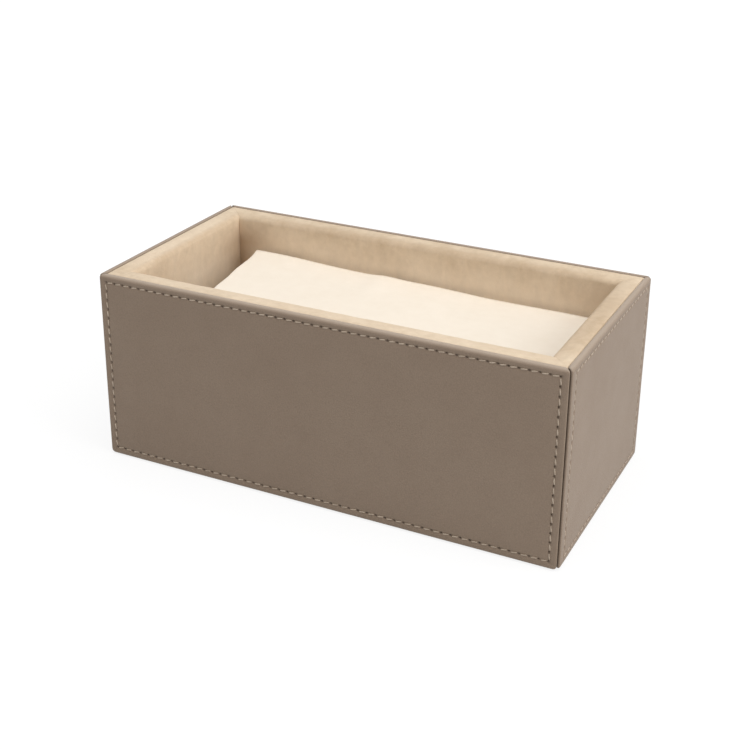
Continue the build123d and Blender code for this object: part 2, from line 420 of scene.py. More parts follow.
# Leather panels

def panel_sizes(side):
    """The outline of a panel from its CAD node's box, with its rolls, stitched line, margins and stitch
    counts."""
    low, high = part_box(f"{side}_leather")
    sizes = dict(LONG_PANEL if side in LONG_SIDES else SHORT_PANEL)
    sizes["half"] = (wall_length(side) - PANEL_JOINT_GAP) / 2
    sizes["low"] = low[2] / MM
    sizes["high"] = high[2] / MM
    sizes["wide"] = 2 * (sizes["half"] - sizes["end"])
    sizes["tall"] = sizes["high"] - sizes["top"] - sizes["low"] - sizes["bottom"]
    sizes["tall_count"] = TALL_STITCHES
    return sizes


def stitch_samples(length, count, step):
    """Places along a stitched line, eight to a stitch and closest together at the needle holes, or every
    step-th."""
    pitch = length / count
    near = np.array(STITCH_SAMPLES)
    cell = np.concatenate([near, [pitch / 2], pitch - near[:0:-1]])
    return (np.arange(count)[:, None] * pitch + cell).ravel()[::step]


def corner_run(share, zone, out, radius):
    """How a ring runs in the zone before a corner: from the middle of the corner's arc, evenly along the
    arc and the straight after it. Gives the place along the side and the distance that the arc lies
    inside its line."""
    arc = radius * np.pi / 4
    walked = share * (arc + zone + out - radius)
    turn = np.clip(np.pi / 4 - walked / max(radius, TINY), 0, np.pi / 4)
    on_arc = radius * (1 - np.sin(turn)) - out
    on_straight = radius - out + walked - arc
    return np.where(walked < arc, on_arc, on_straight), radius * (1 - np.cos(turn))


def ring_side(samples, length, count, out_start, out_end, radius_start, radius_end):
    """One side of a ring: the stitched line's own places, with the last stitches at each end moved to
    the corner."""
    zone = CORNER_STITCHES * length / count
    along = samples.copy()
    away = np.zeros_like(samples)
    first = samples < zone
    along[first], away[first] = corner_run(samples[first] / zone, zone, out_start, radius_start)
    last = samples > length - zone
    from_end, away[last] = corner_run((length - samples[last]) / zone, zone, out_end, radius_end)
    along[last] = length - from_end
    return along, away


def middle_samples(length, count):
    """Places across the grid in the middle of a face: a stitched line's, every few, drawn in to the
    grid's edge."""
    samples = stitch_samples(length, count, MIDDLE_STEP)
    along, _ = ring_side(samples, length, count, -MIDDLE_INSET, -MIDDLE_INSET, 0.0, 0.0)
    return np.append(along, length - MIDDLE_INSET)


def panel_ring(sizes, insets, step=1, rounded=True):
    """One closed ring round a panel, inset by its own amount at the ends, top and bottom, with corners
    that are rounded by as much less as the ring lies inside the outline, or square."""
    end, top, bottom = insets
    high_radius = max(PANEL_CORNER_RADIUS - min(insets), 0.0) * rounded
    low_radius = max(PANEL_FOOT_RADIUS - min(insets), 0.0) * rounded
    end_out, top_out, bottom_out = sizes["end"] - end, sizes["top"] - top, sizes["bottom"] - bottom
    wide = (stitch_samples(sizes["wide"], sizes["wide_count"], step), sizes["wide"], sizes["wide_count"])
    tall = (stitch_samples(sizes["tall"], sizes["tall_count"], step), sizes["tall"], sizes["tall_count"])
    foot, foot_away = ring_side(*wide, end_out, end_out, low_radius, low_radius)
    rise, rise_away = ring_side(*tall, bottom_out, top_out, low_radius, high_radius)
    head, head_away = ring_side(*wide, end_out, end_out, high_radius, high_radius)
    fall, fall_away = ring_side(*tall, top_out, bottom_out, high_radius, low_radius)
    left = sizes["end"] - sizes["half"]
    along = np.concatenate([
        left + foot,
        sizes["half"] - end - rise_away,
        -left - head,
        end + fall_away - sizes["half"],
    ])
    up = np.concatenate([
        sizes["low"] + bottom + foot_away,
        sizes["low"] + sizes["bottom"] + rise,
        sizes["high"] - top - head_away,
        sizes["high"] - sizes["top"] - fall,
    ])
    return along, up


def end_share(sizes, along, up):
    """How far a point belongs to a panel's end rather than to its top or bottom: its distance from the
    nearer of those two, as a share of that and its distance from the end."""
    from_end = sizes["half"] - np.abs(along)
    from_level = np.minimum(sizes["high"] - up, up - sizes["low"])
    return from_level / (from_level + from_end + TINY)


def mitred(sizes, along, inward):
    """Places along a panel, drawn in from its ends by as much as they lie behind its face, which
    undercuts each end at 45 degrees. The change fades out away from the ends."""
    near_end = np.clip(1 - (sizes["half"] - np.abs(along)) / MITRE_REACH, 0, 1)
    return along - np.sign(along) * near_end * np.maximum(inward, 0)


def stitch_line_distance(sizes, along, up):
    """How far a point of the face lies inside the stitched line, less than nothing where it is outside
    it."""
    middle = (sizes["low"] + sizes["bottom"] + sizes["high"] - sizes["top"]) / 2
    over = np.abs(along) - sizes["wide"] / 2
    above = np.abs(up - middle) - sizes["tall"] / 2
    outside = np.hypot(np.maximum(over, 0), np.maximum(above, 0))
    return np.where((over < 0) & (above < 0), -np.maximum(over, above), -outside)


def nearest_hole(spot, first, length, count):
    """The place of the needle hole nearest to a spot on a stitched line: the nearest whole number of
    stitches."""
    pitch = length / count
    return first + pitch * np.clip(np.round((spot - first) / pitch), 0, count)


def needle_pits(sizes, along, up):
    """A pit at each end of every stitch: an oval bell about the nearest needle hole on each of the four
    lines."""
    pits = np.zeros(np.broadcast(along, up).shape)
    left, bottom = -sizes["wide"] / 2, sizes["low"] + sizes["bottom"]
    hole_along = nearest_hole(along, left, sizes["wide"], sizes["wide_count"])
    hole_up = nearest_hole(up, bottom, sizes["tall"], sizes["tall_count"])
    for line in (bottom, bottom + sizes["tall"]):
        pit = bell(along - hole_along, NEEDLE_PIT_LENGTH) * bell(up - line, NEEDLE_PIT_WIDTH)
        pits = np.maximum(pits, pit)
    for line in (left, -left):
        pit = bell(up - hole_up, NEEDLE_PIT_LENGTH) * bell(along - line, NEEDLE_PIT_WIDTH)
        pits = np.maximum(pits, pit)
    return pits


def leather_height(sizes, along, up, seed):
    """How far the leather's face stands out: a swollen border and face, a valley along the stitches,
    pits at the needle holes, and a slight unevenness all over."""
    inside = stitch_line_distance(sizes, along, up)
    face = FACE_SWELL * (1 - np.exp(-np.maximum(inside, 0) / FACE_SWELL_REACH))
    border = BORDER_SWELL * bell(inside + BORDER_SWELL_PLACE, BORDER_SWELL_WIDTH)
    valley = STITCH_VALLEY * bell(inside, STITCH_VALLEY_WIDTH)
    uneven = soft_waves(along, up, seed, LEATHER_WAVES, LEATHER_WAVE_HEIGHT)
    return face + border - valley - sizes["pit_depth"] * needle_pits(sizes, along, up) + uneven


def make_leather(side, material, seed):
    """A panel's leather as one closed skin: a grid in the middle of the face, rings from there over the
    stitched border, round the rolled edge and behind to the end of the turn-in, and back inside to the
    face's own back."""
    sizes = panel_sizes(side)
    margins = np.array([sizes["end"], sizes["top"], sizes["bottom"]])
    level = middle_samples(sizes["wide"], sizes["wide_count"]) - sizes["wide"] / 2
    rise = middle_samples(sizes["tall"], sizes["tall_count"]) + sizes["low"] + sizes["bottom"]
    middle_along, middle_up = np.meshgrid(level, rise)
    count = middle_along.size
    index = np.arange(count).reshape(middle_along.shape)
    rim = np.concatenate([index[0, :-1], index[:-1, -1], index[-1, :0:-1], index[:0:-1, 0]])
    faces = grid_quads(index).tolist()
    along, up = [middle_along.ravel()], [middle_up.ravel()]
    inward = [-leather_height(sizes, middle_along, middle_up, seed).ravel()]
    pits, rolled, joint_shades = [np.zeros(count)], [np.zeros(count)], [np.zeros(count)]

    def add_ring(insets, depth, on_face, step=1, end_depth=None, shade=0.0, rounded=True):
        """Appends a ring and joins it to the one before, two edges to one where the samples get closer.
        Near the ends the ring may lie at a depth of its own and carry painted shade, the shade in the joint
        between panels."""
        nonlocal count, rim, faces
        ring_along, ring_up = panel_ring(sizes, insets, step, rounded)
        near_end = end_share(sizes, ring_along, ring_up)
        if end_depth is not None:
            depth = depth + (end_depth - depth) * near_end
        ring = count + np.arange(len(ring_along))
        outer, inner = np.append(ring, ring[0]), np.append(rim, rim[0])
        if len(ring) == len(rim):
            faces += np.stack([outer[:-1], outer[1:], inner[1:], inner[:-1]], axis=-1).tolist()
        else:
            start, middle, stop = outer[:-1:2], outer[1::2], outer[2::2]
            faces += np.stack([start, middle, inner[:-1]], axis=-1).tolist()
            faces += np.stack([middle, inner[1:], inner[:-1]], axis=-1).tolist()
            faces += np.stack([middle, stop, inner[1:]], axis=-1).tolist()
        along.append(ring_along)
        up.append(ring_up)
        inward.append(depth - on_face * leather_height(sizes, ring_along, ring_up, seed))
        pits.append(needle_pits(sizes, ring_along, ring_up) * (on_face > 0))
        # Painted highlight on the rolled edges, strongest along the top edge where the light from above falls
        on_top = (1 - near_end) * (ring_up > (sizes["low"] + sizes["high"]) / 2)
        highlight = (SIDE_HIGHLIGHT + (1 - SIDE_HIGHLIGHT) * on_top) * EDGE_HIGHLIGHT[side]
        rolled.append((1.0 - on_face ** 2) * highlight)
        joint_shades.append(shade * near_end)
        rim = ring
        count += len(ring)

    for offset, step in FACE_RINGS:
        add_ring(margins + offset, 0.0, 1.0, step)
    for offset in BORDER_RINGS:
        add_ring(margins - offset, 0.0, 1.0)
    rolls = np.array([sizes["end_roll"], EDGE_ROLL, EDGE_ROLL])
    for share in BORDER_SHARES:
        add_ring((margins - BORDER_RINGS[-1]) * (1 - share) + rolls * share, 0.0, 1.0)
    for turn in ROLL_TURNS:
        angle = np.radians(turn)
        back = rolls * (1 - np.cos(angle))
        # Past the joint's turn an end's roll carries more painted shade of the joint; the rings behind the
        # panel carry all of it
        shade = max((turn - sizes["joint_shade_turn"]) / (ROLL_TURNS[-1] - sizes["joint_shade_turn"]), 0.0)
        add_ring(rolls * (1 - np.sin(angle)), back[1], np.cos(angle), end_depth=back[0], shade=shade)
    for turn in np.radians(BACK_TURNS):
        back = PANEL_THICKNESS - BACK_ROLL * (1 - np.sin(turn))
        add_ring(np.full(3, BACK_ROLL * (1 - np.cos(turn))), back, 0.0, shade=1.0)
    turn_in_depth = PANEL_THICKNESS - TURN_IN_THICKNESS
    add_ring(np.full(3, TURN_IN_WIDTH), PANEL_THICKNESS, 0.0)
    add_ring(np.full(3, TURN_IN_WIDTH), turn_in_depth, 0.0)
    add_ring(np.full(3, LEATHER_THICKNESS), turn_in_depth, 0.0, rounded=False)
    inner_roll = EDGE_ROLL - LEATHER_THICKNESS
    for turn in np.radians(INSIDE_TURNS):
        inset = LEATHER_THICKNESS + inner_roll * (1 - np.sin(turn))
        depth = LEATHER_THICKNESS + inner_roll * (1 - np.cos(turn))
        add_ring(np.full(3, inset), depth, 0.0, rounded=False)
    faces.append(rim[::-1].tolist())
    along, inward, up = np.concatenate(along), np.concatenate(inward), np.concatenate(up)
    points = place(side, mitred(sizes, along, inward), inward, up)
    name = f"{side}_panel_leather"
    piece = make_piece(name, points, faces, material, "box", [f"{side}_leather"])
    # Painted shade in the needle holes, painted highlight on the rolled edges and painted shade at the joints
    give_values(piece, "needle_hole_shade", np.concatenate(pits))
    give_values(piece, "rolled_edge_highlight", np.concatenate(rolled))
    give_values(piece, "joint_shade", np.concatenate(joint_shades))
    return sizes


# Stitches

def make_stitches(side, sizes, material, seed):
    """A panel's thread: each stitch is a two-ply tube that lies along the valley, a little askew, and
    dips into a needle hole at both ends. Its section is an oval with two lobes that turn along it."""
    draw = np.random.default_rng(seed)
    reach = np.linspace(-1, 1, THREAD_RINGS)[:, None]
    turn = np.arange(THREAD_SIDES) * 2 * np.pi / THREAD_SIDES
    lobes = 1 + THREAD_LOBE * np.cos(2 * turn - THREAD_TWIST * reach)
    taper = 1 - THREAD_TAPER * np.abs(reach) ** THREAD_TAPER_POWER
    width = THREAD_HALF_WIDTH * taper * lobes * np.cos(turn)
    height = sizes["thread_height"] * taper * lobes * np.sin(turn)
    dip = THREAD_DIP * np.abs(reach) ** THREAD_DIP_POWER
    wide = (sizes["wide"] / sizes["wide_count"], sizes["wide_count"])
    tall = (sizes["tall"] / sizes["tall_count"], sizes["tall_count"])
    left, bottom = -sizes["wide"] / 2, sizes["low"] + sizes["bottom"]
    top = bottom + sizes["tall"]
    lines = (
        (left, bottom, 1, 0, *wide),
        (-left, bottom, 0, 1, *tall),
        (-left, top, -1, 0, *wide),
        (left, top, 0, -1, *tall),
    )
    points, faces = [], []
    cell = THREAD_RINGS * THREAD_SIDES
    ring_index = np.arange(cell).reshape(THREAD_RINGS, THREAD_SIDES)
    tube = grid_quads(ring_index, closed=True)
    for start_along, start_up, go_along, go_up, pitch, count in lines:
        middle = (np.arange(count) + 0.5) * pitch
        skew = THREAD_SLANT + draw.uniform(-THREAD_SLANT_SPREAD, THREAD_SLANT_SPREAD, count)
        high = draw.uniform(-THREAD_HEIGHT_SPREAD, THREAD_HEIGHT_SPREAD, count)
        run = middle[:, None, None] + reach * THREAD_HALF_LENGTH
        side_step = skew[:, None, None] * reach + width
        out = THREAD_CENTRE + high[:, None, None] - dip + height
        run, side_step, out = np.broadcast_arrays(run, side_step, out)
        along = start_along + go_along * run - go_up * side_step
        up = start_up + go_up * run + go_along * side_step
        firsts = sum(len(p) for p in points) + np.arange(count) * cell
        points.append(place(side, along, -out, up))
        faces += (firsts[:, None, None] + tube).reshape(-1, 4).tolist()
        faces += (firsts[:, None] + ring_index[0, ::-1]).tolist()
        faces += (firsts[:, None] + ring_index[-1]).tolist()
    points = np.concatenate(points)
    make_piece(f"{side}_panel_stitches", points, faces, material, "box", [f"{side}_stitching"])


# Lining

def rim_section(depth):
    """The lining's section as distances inward from the wall's outer face and heights, a given depth
    under the suede's outside: up the flap behind the leather, over the crowned rim by two rounded edges,
    and down the inner wall. The crown fades out with depth, so that the foam lies flat on the wall."""
    outer_radius = RIM_OUTER_RADIUS - min(depth, RIM_OUTER_RADIUS - SHARPEST_RADIUS)
    inner_radius = max(RIM_INNER_RADIUS - depth, SHARPEST_RADIUS)
    first, last, top = PANEL_THICKNESS + depth, LINING_REACH - depth, BOX_TOP - depth
    turn = np.linspace(0, np.pi / 2, ROUND_SAMPLES)
    flap = np.linspace(SUEDE_FLAP_BOTTOM, top - outer_radius, FLAP_SAMPLES + 1)[:-1]
    level = np.linspace(first + outer_radius, last - inner_radius, RIM_SAMPLES)[1:-1]
    drop = np.linspace(top - inner_radius, SUEDE_BOTTOM, DROP_SAMPLES)[1:]
    inward = np.concatenate([
        np.full(len(flap), first),
        first + outer_radius * (1 - np.cos(turn)),
        level,
        last - inner_radius * (1 - np.sin(turn)),
        np.full(len(drop), last),
    ])
    up = np.concatenate([
        flap,
        top - outer_radius * (1 - np.sin(turn)),
        np.full(len(level), top),
        top - inner_radius * (1 - np.cos(turn)),
        drop,
    ])
    on_top = ramp(up - BOX_TOP + CROWN_DROP, CROWN_DROP_RUN)
    on_top = on_top * ramp(inward - PANEL_THICKNESS, CROWN_SIDE_RUN)
    covered = 1 - depth / (SUEDE_THICKNESS + FOAM_THICKNESS)
    crown = RIM_CROWN * covered * (bell(inward - RIM_CROWN_PLACE, RIM_CROWN_WIDTH) - 1)
    return inward, up + crown * on_top


def wall_samples(half):
    """Places along a wall from -1 to 1, about 2 mm apart and closer at the two corners, as a column."""
    even = np.linspace(-1, 1, int(half) + 1)
    corner = 1 - np.array(CORNER_SAMPLES) / half
    inner = even[np.abs(even) < corner[-1] - CORNER_SAMPLE_GAP / half]
    return np.concatenate([-corner, inner, corner[::-1]])[:, None]


def wall_runs(half, inward, ends):
    """How far along a wall a section's points lie: each point's run between the two mitres shortens by
    as much as it lies inward, so the ends of neighbouring walls meet on the diagonal."""
    return ends * (half - (inward - PANEL_THICKNESS))


def hook_faces(rows, columns):
    """Faces of a closed skin of two grids of points, one inside the other: both grids and the strips
    between their long edges as one loop round each row, then a cap at each end."""
    outer = np.arange(rows * columns).reshape(rows, columns)
    inner = outer + rows * columns
    loop = np.concatenate([outer, inner[:, ::-1]], axis=1)
    start = np.stack([outer[0, :-1], inner[0, :-1], inner[0, 1:], outer[0, 1:]], axis=-1)
    stop = np.stack([outer[-1, 1:], inner[-1, 1:], inner[-1, :-1], outer[-1, :-1]], axis=-1)
    return np.concatenate([grid_quads(loop, closed=True), start, stop])[:, ::-1].tolist()


def suede_painted_light_and_shade(side, ends, from_corner, inward, up):
    """How much painted shade and painted light a wall's suede carries at each point. The painted shade is the
    most of
    three: in the inner corners, over a whole side, and along the rim's inner edge. The painted light starts
    as the rim's, which turns into the corners' own and fades across the rim, then becomes the wall's further
    down, and is full low on the walls beside the towels, where their shade falls."""
    on_wall = inward > WALL_INWARD
    low_down = ramp(BOX_TOP - PAINT_WALL_DROP - up, PAINT_WALL_RUN) * on_wall
    in_corner = bell(from_corner, PAINT_CORNER_REACH)
    across = ramp(inward - RIM_EDGE_START[side], RIM_EDGE_RUN)
    edge = across * ramp(up - BOX_TOP + RIM_EDGE_DROP, RIM_EDGE_DROP_RUN)
    low_light = ramp(LOW_LIGHT_TOP[side] - up, LOW_LIGHT_REACH) * on_wall
    low_light = low_light * (1 - bell(from_corner, LOW_LIGHT_CORNER))
    deepest = np.where(ends < 0, *CORNER_DARK[side])
    corner_dark = deepest * bell(from_corner, CORNER_DARK_REACH[side]) * low_down
    corner_dark = corner_dark * (1 - CORNER_DARK_LOW_LIGHT_FADE * low_light)
    all_over = SIDE_PAINTED_SHADE[side] * (1 - in_corner * (1 - low_down))
    edge_dark = RIM_EDGE_PAINTED_SHADE[side] * edge * (1 - RIM_EDGE_CORNER_FADE * in_corner)
    dark = np.maximum(np.maximum(corner_dark, all_over), edge_dark)
    pale = RIM_PAINTED_LIGHT[side] + (CORNER_PAINTED_LIGHT - RIM_PAINTED_LIGHT[side]) * in_corner
    pale = pale * (1 - across)
    pale = pale + (WALL_PAINTED_LIGHT[side] - pale) * low_down
    return dark, pale + (1 - pale) * low_light


def make_lining(side, material, seed):
    """A wall's suede: the rim's section carried along the wall as an outer and an inner skin, with soft
    unevenness inward on the wall and downward on the rim, and a crease and a swell beside the inner
    corners."""
    half = wall_length(side) / 2 - PANEL_THICKNESS
    ends = wall_samples(half)
    from_corner = (1 - np.abs(ends)) * half
    away = ramp(from_corner, CORNER_CALM)
    skins, darks, pales = [], [], []
    for depth in (0.0, SUEDE_THICKNESS):
        inward, up = rim_section(depth)
        walked = np.cumsum(np.hypot(np.diff(inward, prepend=inward[0]), np.diff(up, prepend=up[0])))
        shown = ramp(inward - PANEL_THICKNESS, SUEDE_WAVE_RUN)
        on_wall = ramp(BOX_TOP - WALL_DROP - up, WALL_RUN) * (inward > WALL_INWARD)
        runs = wall_runs(half, inward, ends)
        soft = soft_waves(runs, walked[None, :], seed, SUEDE_WAVES, SUEDE_WAVE_HEIGHT) * shown
        crease = CORNER_CREASE * bell(from_corner, CORNER_CREASE_WIDTH) * on_wall
        swell = CORNER_SWELL * bell(from_corner - CORNER_SWELL_PLACE, CORNER_SWELL_WIDTH) * on_wall
        new_inward = inward + on_wall * (soft * away + swell - crease)
        new_up = up + (1 - on_wall) * np.minimum(soft, 0) * away * shown
        skins.append(place(side, wall_runs(half, new_inward, ends), new_inward, new_up))
        # Painted shade and painted light for the suede's colour
        dark, pale = suede_painted_light_and_shade(side, ends, from_corner, inward, up)
        darks.append(dark)
        pales.append(pale)
    name = f"{side}_suede_lining"
    faces = hook_faces(len(ends), len(inward))
    piece = make_piece(name, np.concatenate(skins), faces, material, "box", [f"{side}_lining"])
    give_values(piece, "painted_shade", np.concatenate(darks))
    give_values(piece, "painted_light", np.concatenate(pales))


def make_foam_pad(side, material):
    """The thin foam under a wall's suede: the same hook without its flap, between the suede's back and
    the fibreboard."""
    half = wall_length(side) / 2 - PANEL_THICKNESS
    ends = wall_samples(half)
    skins = []
    for depth in (SUEDE_THICKNESS + FOAM_CLEARANCE, SUEDE_THICKNESS + FOAM_THICKNESS):
        inward, up = (values[FLAP_SAMPLES:] for values in rim_section(depth))
        skins.append(place(side, wall_runs(half, inward, ends), inward, up))
    faces = hook_faces(len(ends), len(inward))
    points = np.concatenate(skins)
    piece = make_piece(f"{side}_foam_pad", points, faces, material, "box", [f"{side}_rim_pad"])


# Floor and base

def edge_spaced(half, edge):
    """Places from -half to half: close together within the edge and a step apart between."""
    turn = np.linspace(0, np.pi / 2, SLAB_EDGE_SAMPLES)
    end = half - edge * (1 - np.sin(turn))
    count = max(int(2 * (half - edge) / SLAB_STEP), 2)
    inner = np.linspace(-(half - edge), half - edge, count + 1)[1:-1]
    return np.concatenate([-end[::-1], inner, end])


def make_soft_slab(name, node, material, edge, wave=0.0):
    """A soft level sheet in its CAD node's box: an upper and a lower surface that meet all round in a
    rounded edge, the upper one uneven by a wave that only lowers it. Gives the piece and its length,
    depth and height in metres."""
    low, high = (np.array(corner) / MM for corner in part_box(node))
    middle, half = (low + high) / 2, (high - low) / 2
    across, along = np.meshgrid(edge_spaced(half[0], edge), edge_spaced(half[1], edge))
    near = np.minimum(half[0] - np.abs(across), half[1] - np.abs(along)).clip(0, edge) / edge
    bulge = half[2] * np.sqrt(1 - (1 - near) ** 2)
    uneven = soft_waves(across, along, SLAB_SEED, SLAB_WAVES, wave) - wave
    upper = np.stack([across + middle[0], along + middle[1], middle[2] + bulge + uneven * near], axis=-1)
    lower = np.stack([across + middle[0], along + middle[1], middle[2] - bulge], axis=-1)
    top_index = np.arange(across.size).reshape(across.shape)
    low_index = top_index + across.size
    low_index[[0, -1], :] = top_index[[0, -1], :]
    low_index[:, [0, -1]] = top_index[:, [0, -1]]
    faces = np.concatenate([grid_quads(top_index), grid_quads(low_index)[:, ::-1]])
    points = np.concatenate([upper.reshape(-1, 3), lower.reshape(-1, 3)])
    used = np.unique(faces)
    order = np.full(len(points), -1)
    order[used] = np.arange(len(used))
    faces = order[faces].tolist()
    return make_piece(name, points[used], faces, material, "box", [node]), 2 * half * MM


# Towels

def fold_run(straight, radius, turns, step):
    """A cloth folded back and forth: lengths walked, places along the fold's direction and turned angle.
    Each run is followed by a half turn, except the last one."""
    walked, place_along, angle = [], [], []
    done = 0.0
    for number in range(turns + 1):
        forward = number % 2 == 0
        steps = np.linspace(0, straight, max(int(straight / step), 2) + 1)
        walked.append(done + steps)
        place_along.append(steps if forward else straight - steps)
        angle.append(np.full(len(steps), number * np.pi))
        done += straight
        if number < turns:
            part = np.linspace(0, np.pi, FOLD_STEPS + 2)[1:-1]
            walked.append(done + part * radius)
            place_along.append(np.where(forward, straight + radius * np.sin(part), -radius * np.sin(part)))
            angle.append(number * np.pi + part)
            done += np.pi * radius
    return np.concatenate(walked), np.concatenate(place_along), np.concatenate(angle)


def pile_lift(across, along):
    """How many times as high as flat the pile lies: most at its folded left end and less by a power of
    the way to the right, with a ripple and a hump that grow towards the back, and slow waves all
    over."""
    share = (across - TOWEL_LEFT) / (TOWEL_RIGHT - TOWEL_LEFT)
    slope = PILE_LIFT - PILE_LIFT_DROP * np.clip(share, 0, 1) ** PILE_LIFT_POWER
    ripple = RIPPLE_HEIGHT * np.sin(across / RIPPLE_LENGTH + RIPPLE_PHASE)
    hump = HUMP_HEIGHT * bell(across - HUMP_PLACE, HUMP_WIDTH)
    to_back = np.clip(along / RIPPLE_DEPTH, RIPPLE_FRONT_SHARE, 1)
    uneven = soft_waves(across, along, PILE_SEED, PILE_WAVES, PILE_WAVE_HEIGHT)
    return slope + (ripple + hump) * to_back + uneven


def left_edge(along, number):
    """Where a towel's folded left end lies: turned a little, the top towel's more, and soft rather than
    straight."""
    draw = np.random.default_rng(LEFT_EDGE_SEED + number)
    if number == TOWEL_COUNT:
        middle, lean = TOP_TOWEL_LEFT, TOP_TOWEL_LEAN
    else:
        middle, lean = TOWEL_LEFT, draw.uniform(*TOWEL_LEAN_SPREAD)
    wave = 0.0
    for height, length in LEFT_EDGE_WAVES:
        wave = wave + height * np.sin(along / length + draw.uniform(0, LEFT_EDGE_PHASE))
    return middle + lean * np.maximum(along, TOWEL_LEAN_START) / TOWEL_HALF_DEPTH + wave


def make_towel(number, material):
    """A towel as one sheet, folded in half across its length and then in three. The doubled cloth
    follows a line that runs back and forth in depth; its two layers lie half a layer to each side of
    that line, and run into each other round the fold at the left end."""
    draw = np.random.default_rng(TOWEL_SEED + number)
    is_top = number == TOWEL_COUNT
    step = TOP_TOWEL_STEP if is_top else TOWEL_STEP
    length, depth = TOWEL_RIGHT - TOWEL_LEFT, 2 * (TOWEL_HALF_DEPTH - FOLD_REACH)
    run_x, place_x, turn_x = fold_run(length, TOWEL_LAYER / 2, 1, step)
    run_y, place_y, turn_y = fold_run(depth, TOWEL_LAYER, 2, step)
    place_x = place_x[:, None]
    layer_side = np.cos(turn_x)[:, None] * TOWEL_LAYER / 2
    level = np.floor(turn_y / np.pi + TINY)
    part = turn_y - level * np.pi
    line_up = TOWEL_LAYER * (1 + 2 * level) + TOWEL_LAYER * (1 - np.cos(part))
    way = np.where(level % 2 == 0, 1.0, -1.0)
    height = line_up - layer_side * way * np.cos(part)
    along = place_y - depth / 2 + layer_side * way * np.sin(part)
    along = along + draw.uniform(*TOWEL_DEPTH_SPREAD)
    edge = np.clip(np.abs(along) / TOWEL_HALF_DEPTH, 0, 1) ** TOWEL_EDGE_POWER
    stretched = height * TOWEL_EDGE_LAYER_STRETCH
    seed = TOWEL_EDGE_SEED + number
    wave = soft_waves(TOWEL_RIGHT - place_x, stretched, seed, TOWEL_EDGE_WAVES, TOWEL_EDGE_WAVE_HEIGHT)
    along = along + np.sign(along) * edge * wave
    right = TOWEL_RIGHT + draw.uniform(*TOWEL_RIGHT_SPREAD)
    across = right - place_x / length * (right - left_edge(along, number))
    flat_up = TOWEL_PITCH * (number - 1) + height
    up = PILE_BOTTOM + flat_up * pile_lift(across, along)
    points = np.stack([across, along, up], axis=-1).reshape(-1, 3)
    faces = grid_quads(np.arange(across.size).reshape(across.shape)).tolist()
    body = "top_towel" if is_top else "towel_pile"
    piece = make_piece(f"guest_towel_{number}", points, faces, material, body, [f"towel_{number}"])
    give_cloth_map(piece, *np.meshgrid(run_x, run_y, indexing="ij"))
    thick = piece.modifiers.new("cloth", "SOLIDIFY")
    thick.thickness = TOWEL_CLOTH * MM
    thick.offset = 0.0


# Shader nodes

def add_node(tree, kind, inputs=None, **settings):
    """A shader node with its settings, and its inputs given as values or as other nodes' outputs."""
    made = tree.nodes.new(kind)
    for name, value in settings.items():
        setattr(made, name, value)
    for name, value in (inputs or {}).items():
        if isinstance(value, bpy.types.NodeSocket):
            tree.links.new(value, made.inputs[name])
        else:
            made.inputs[name].default_value = value
    return made


def calculate(tree, operation, first, second):
    """The result of a Math node."""
    return add_node(tree, "ShaderNodeMath", {0: first, 1: second}, operation=operation).outputs[0]


def blend_colours(tree, share, first, second, way="MIX"):
    """The result of mixing two colours, each red, green and blue or another node's output."""
    inputs = {0: share}
    for socket, colour in ((6, first), (7, second)):
        inputs[socket] = (*colour, 1) if isinstance(colour, tuple) else colour
    return add_node(tree, "ShaderNodeMix", inputs, data_type="RGBA", blend_type=way).outputs[2]


def fit_range(tree, value, old, new):
    """A value stretched from an old range to a new one and held inside it."""
    inputs = {0: value, 1: old[0], 2: old[1], 3: new[0], 4: new[1]}
    return add_node(tree, "ShaderNodeMapRange", inputs).outputs[0]


def add_noise(tree, vector, scale, **more):
    """A noise texture at a given scale, with its other inputs by name."""
    return add_node(tree, "ShaderNodeTexNoise", {"Vector": vector, "Scale": scale, **more})


def new_group(name, outputs):
    """An empty shader node group with a vector and a scale as inputs, and named numbers as outputs."""
    group = bpy.data.node_groups.new(name, "ShaderNodeTree")
    group.interface.new_socket("Vector", in_out="INPUT", socket_type="NodeSocketVector")
    group.interface.new_socket("Scale", in_out="INPUT", socket_type="NodeSocketFloat")
    for socket in outputs:
        group.interface.new_socket(socket, in_out="OUTPUT", socket_type="NodeSocketFloat")
    given = group.nodes.new("NodeGroupInput").outputs
    return group, given["Vector"], given["Scale"], group.nodes.new("NodeGroupOutput").inputs


def make_cloud_group():
    """Slow changes of tone: a broad noise with a finer one over it, from 0 to 1."""
    group, vector, scale, result = new_group("cloudy_tone", ["Tone"])
    broad = add_noise(group, vector, scale, Detail=3.0)
    fine_scale = calculate(group, "MULTIPLY", scale, CLOUD_FINE)
    fine = add_noise(group, vector, fine_scale, Detail=4.0, Roughness=0.6)
    both = calculate(group, "ADD", broad.outputs[0], fine.outputs[0])
    group.links.new(fit_range(group, both, CLOUD_STRETCH, UNIT), result["Tone"])
    return group


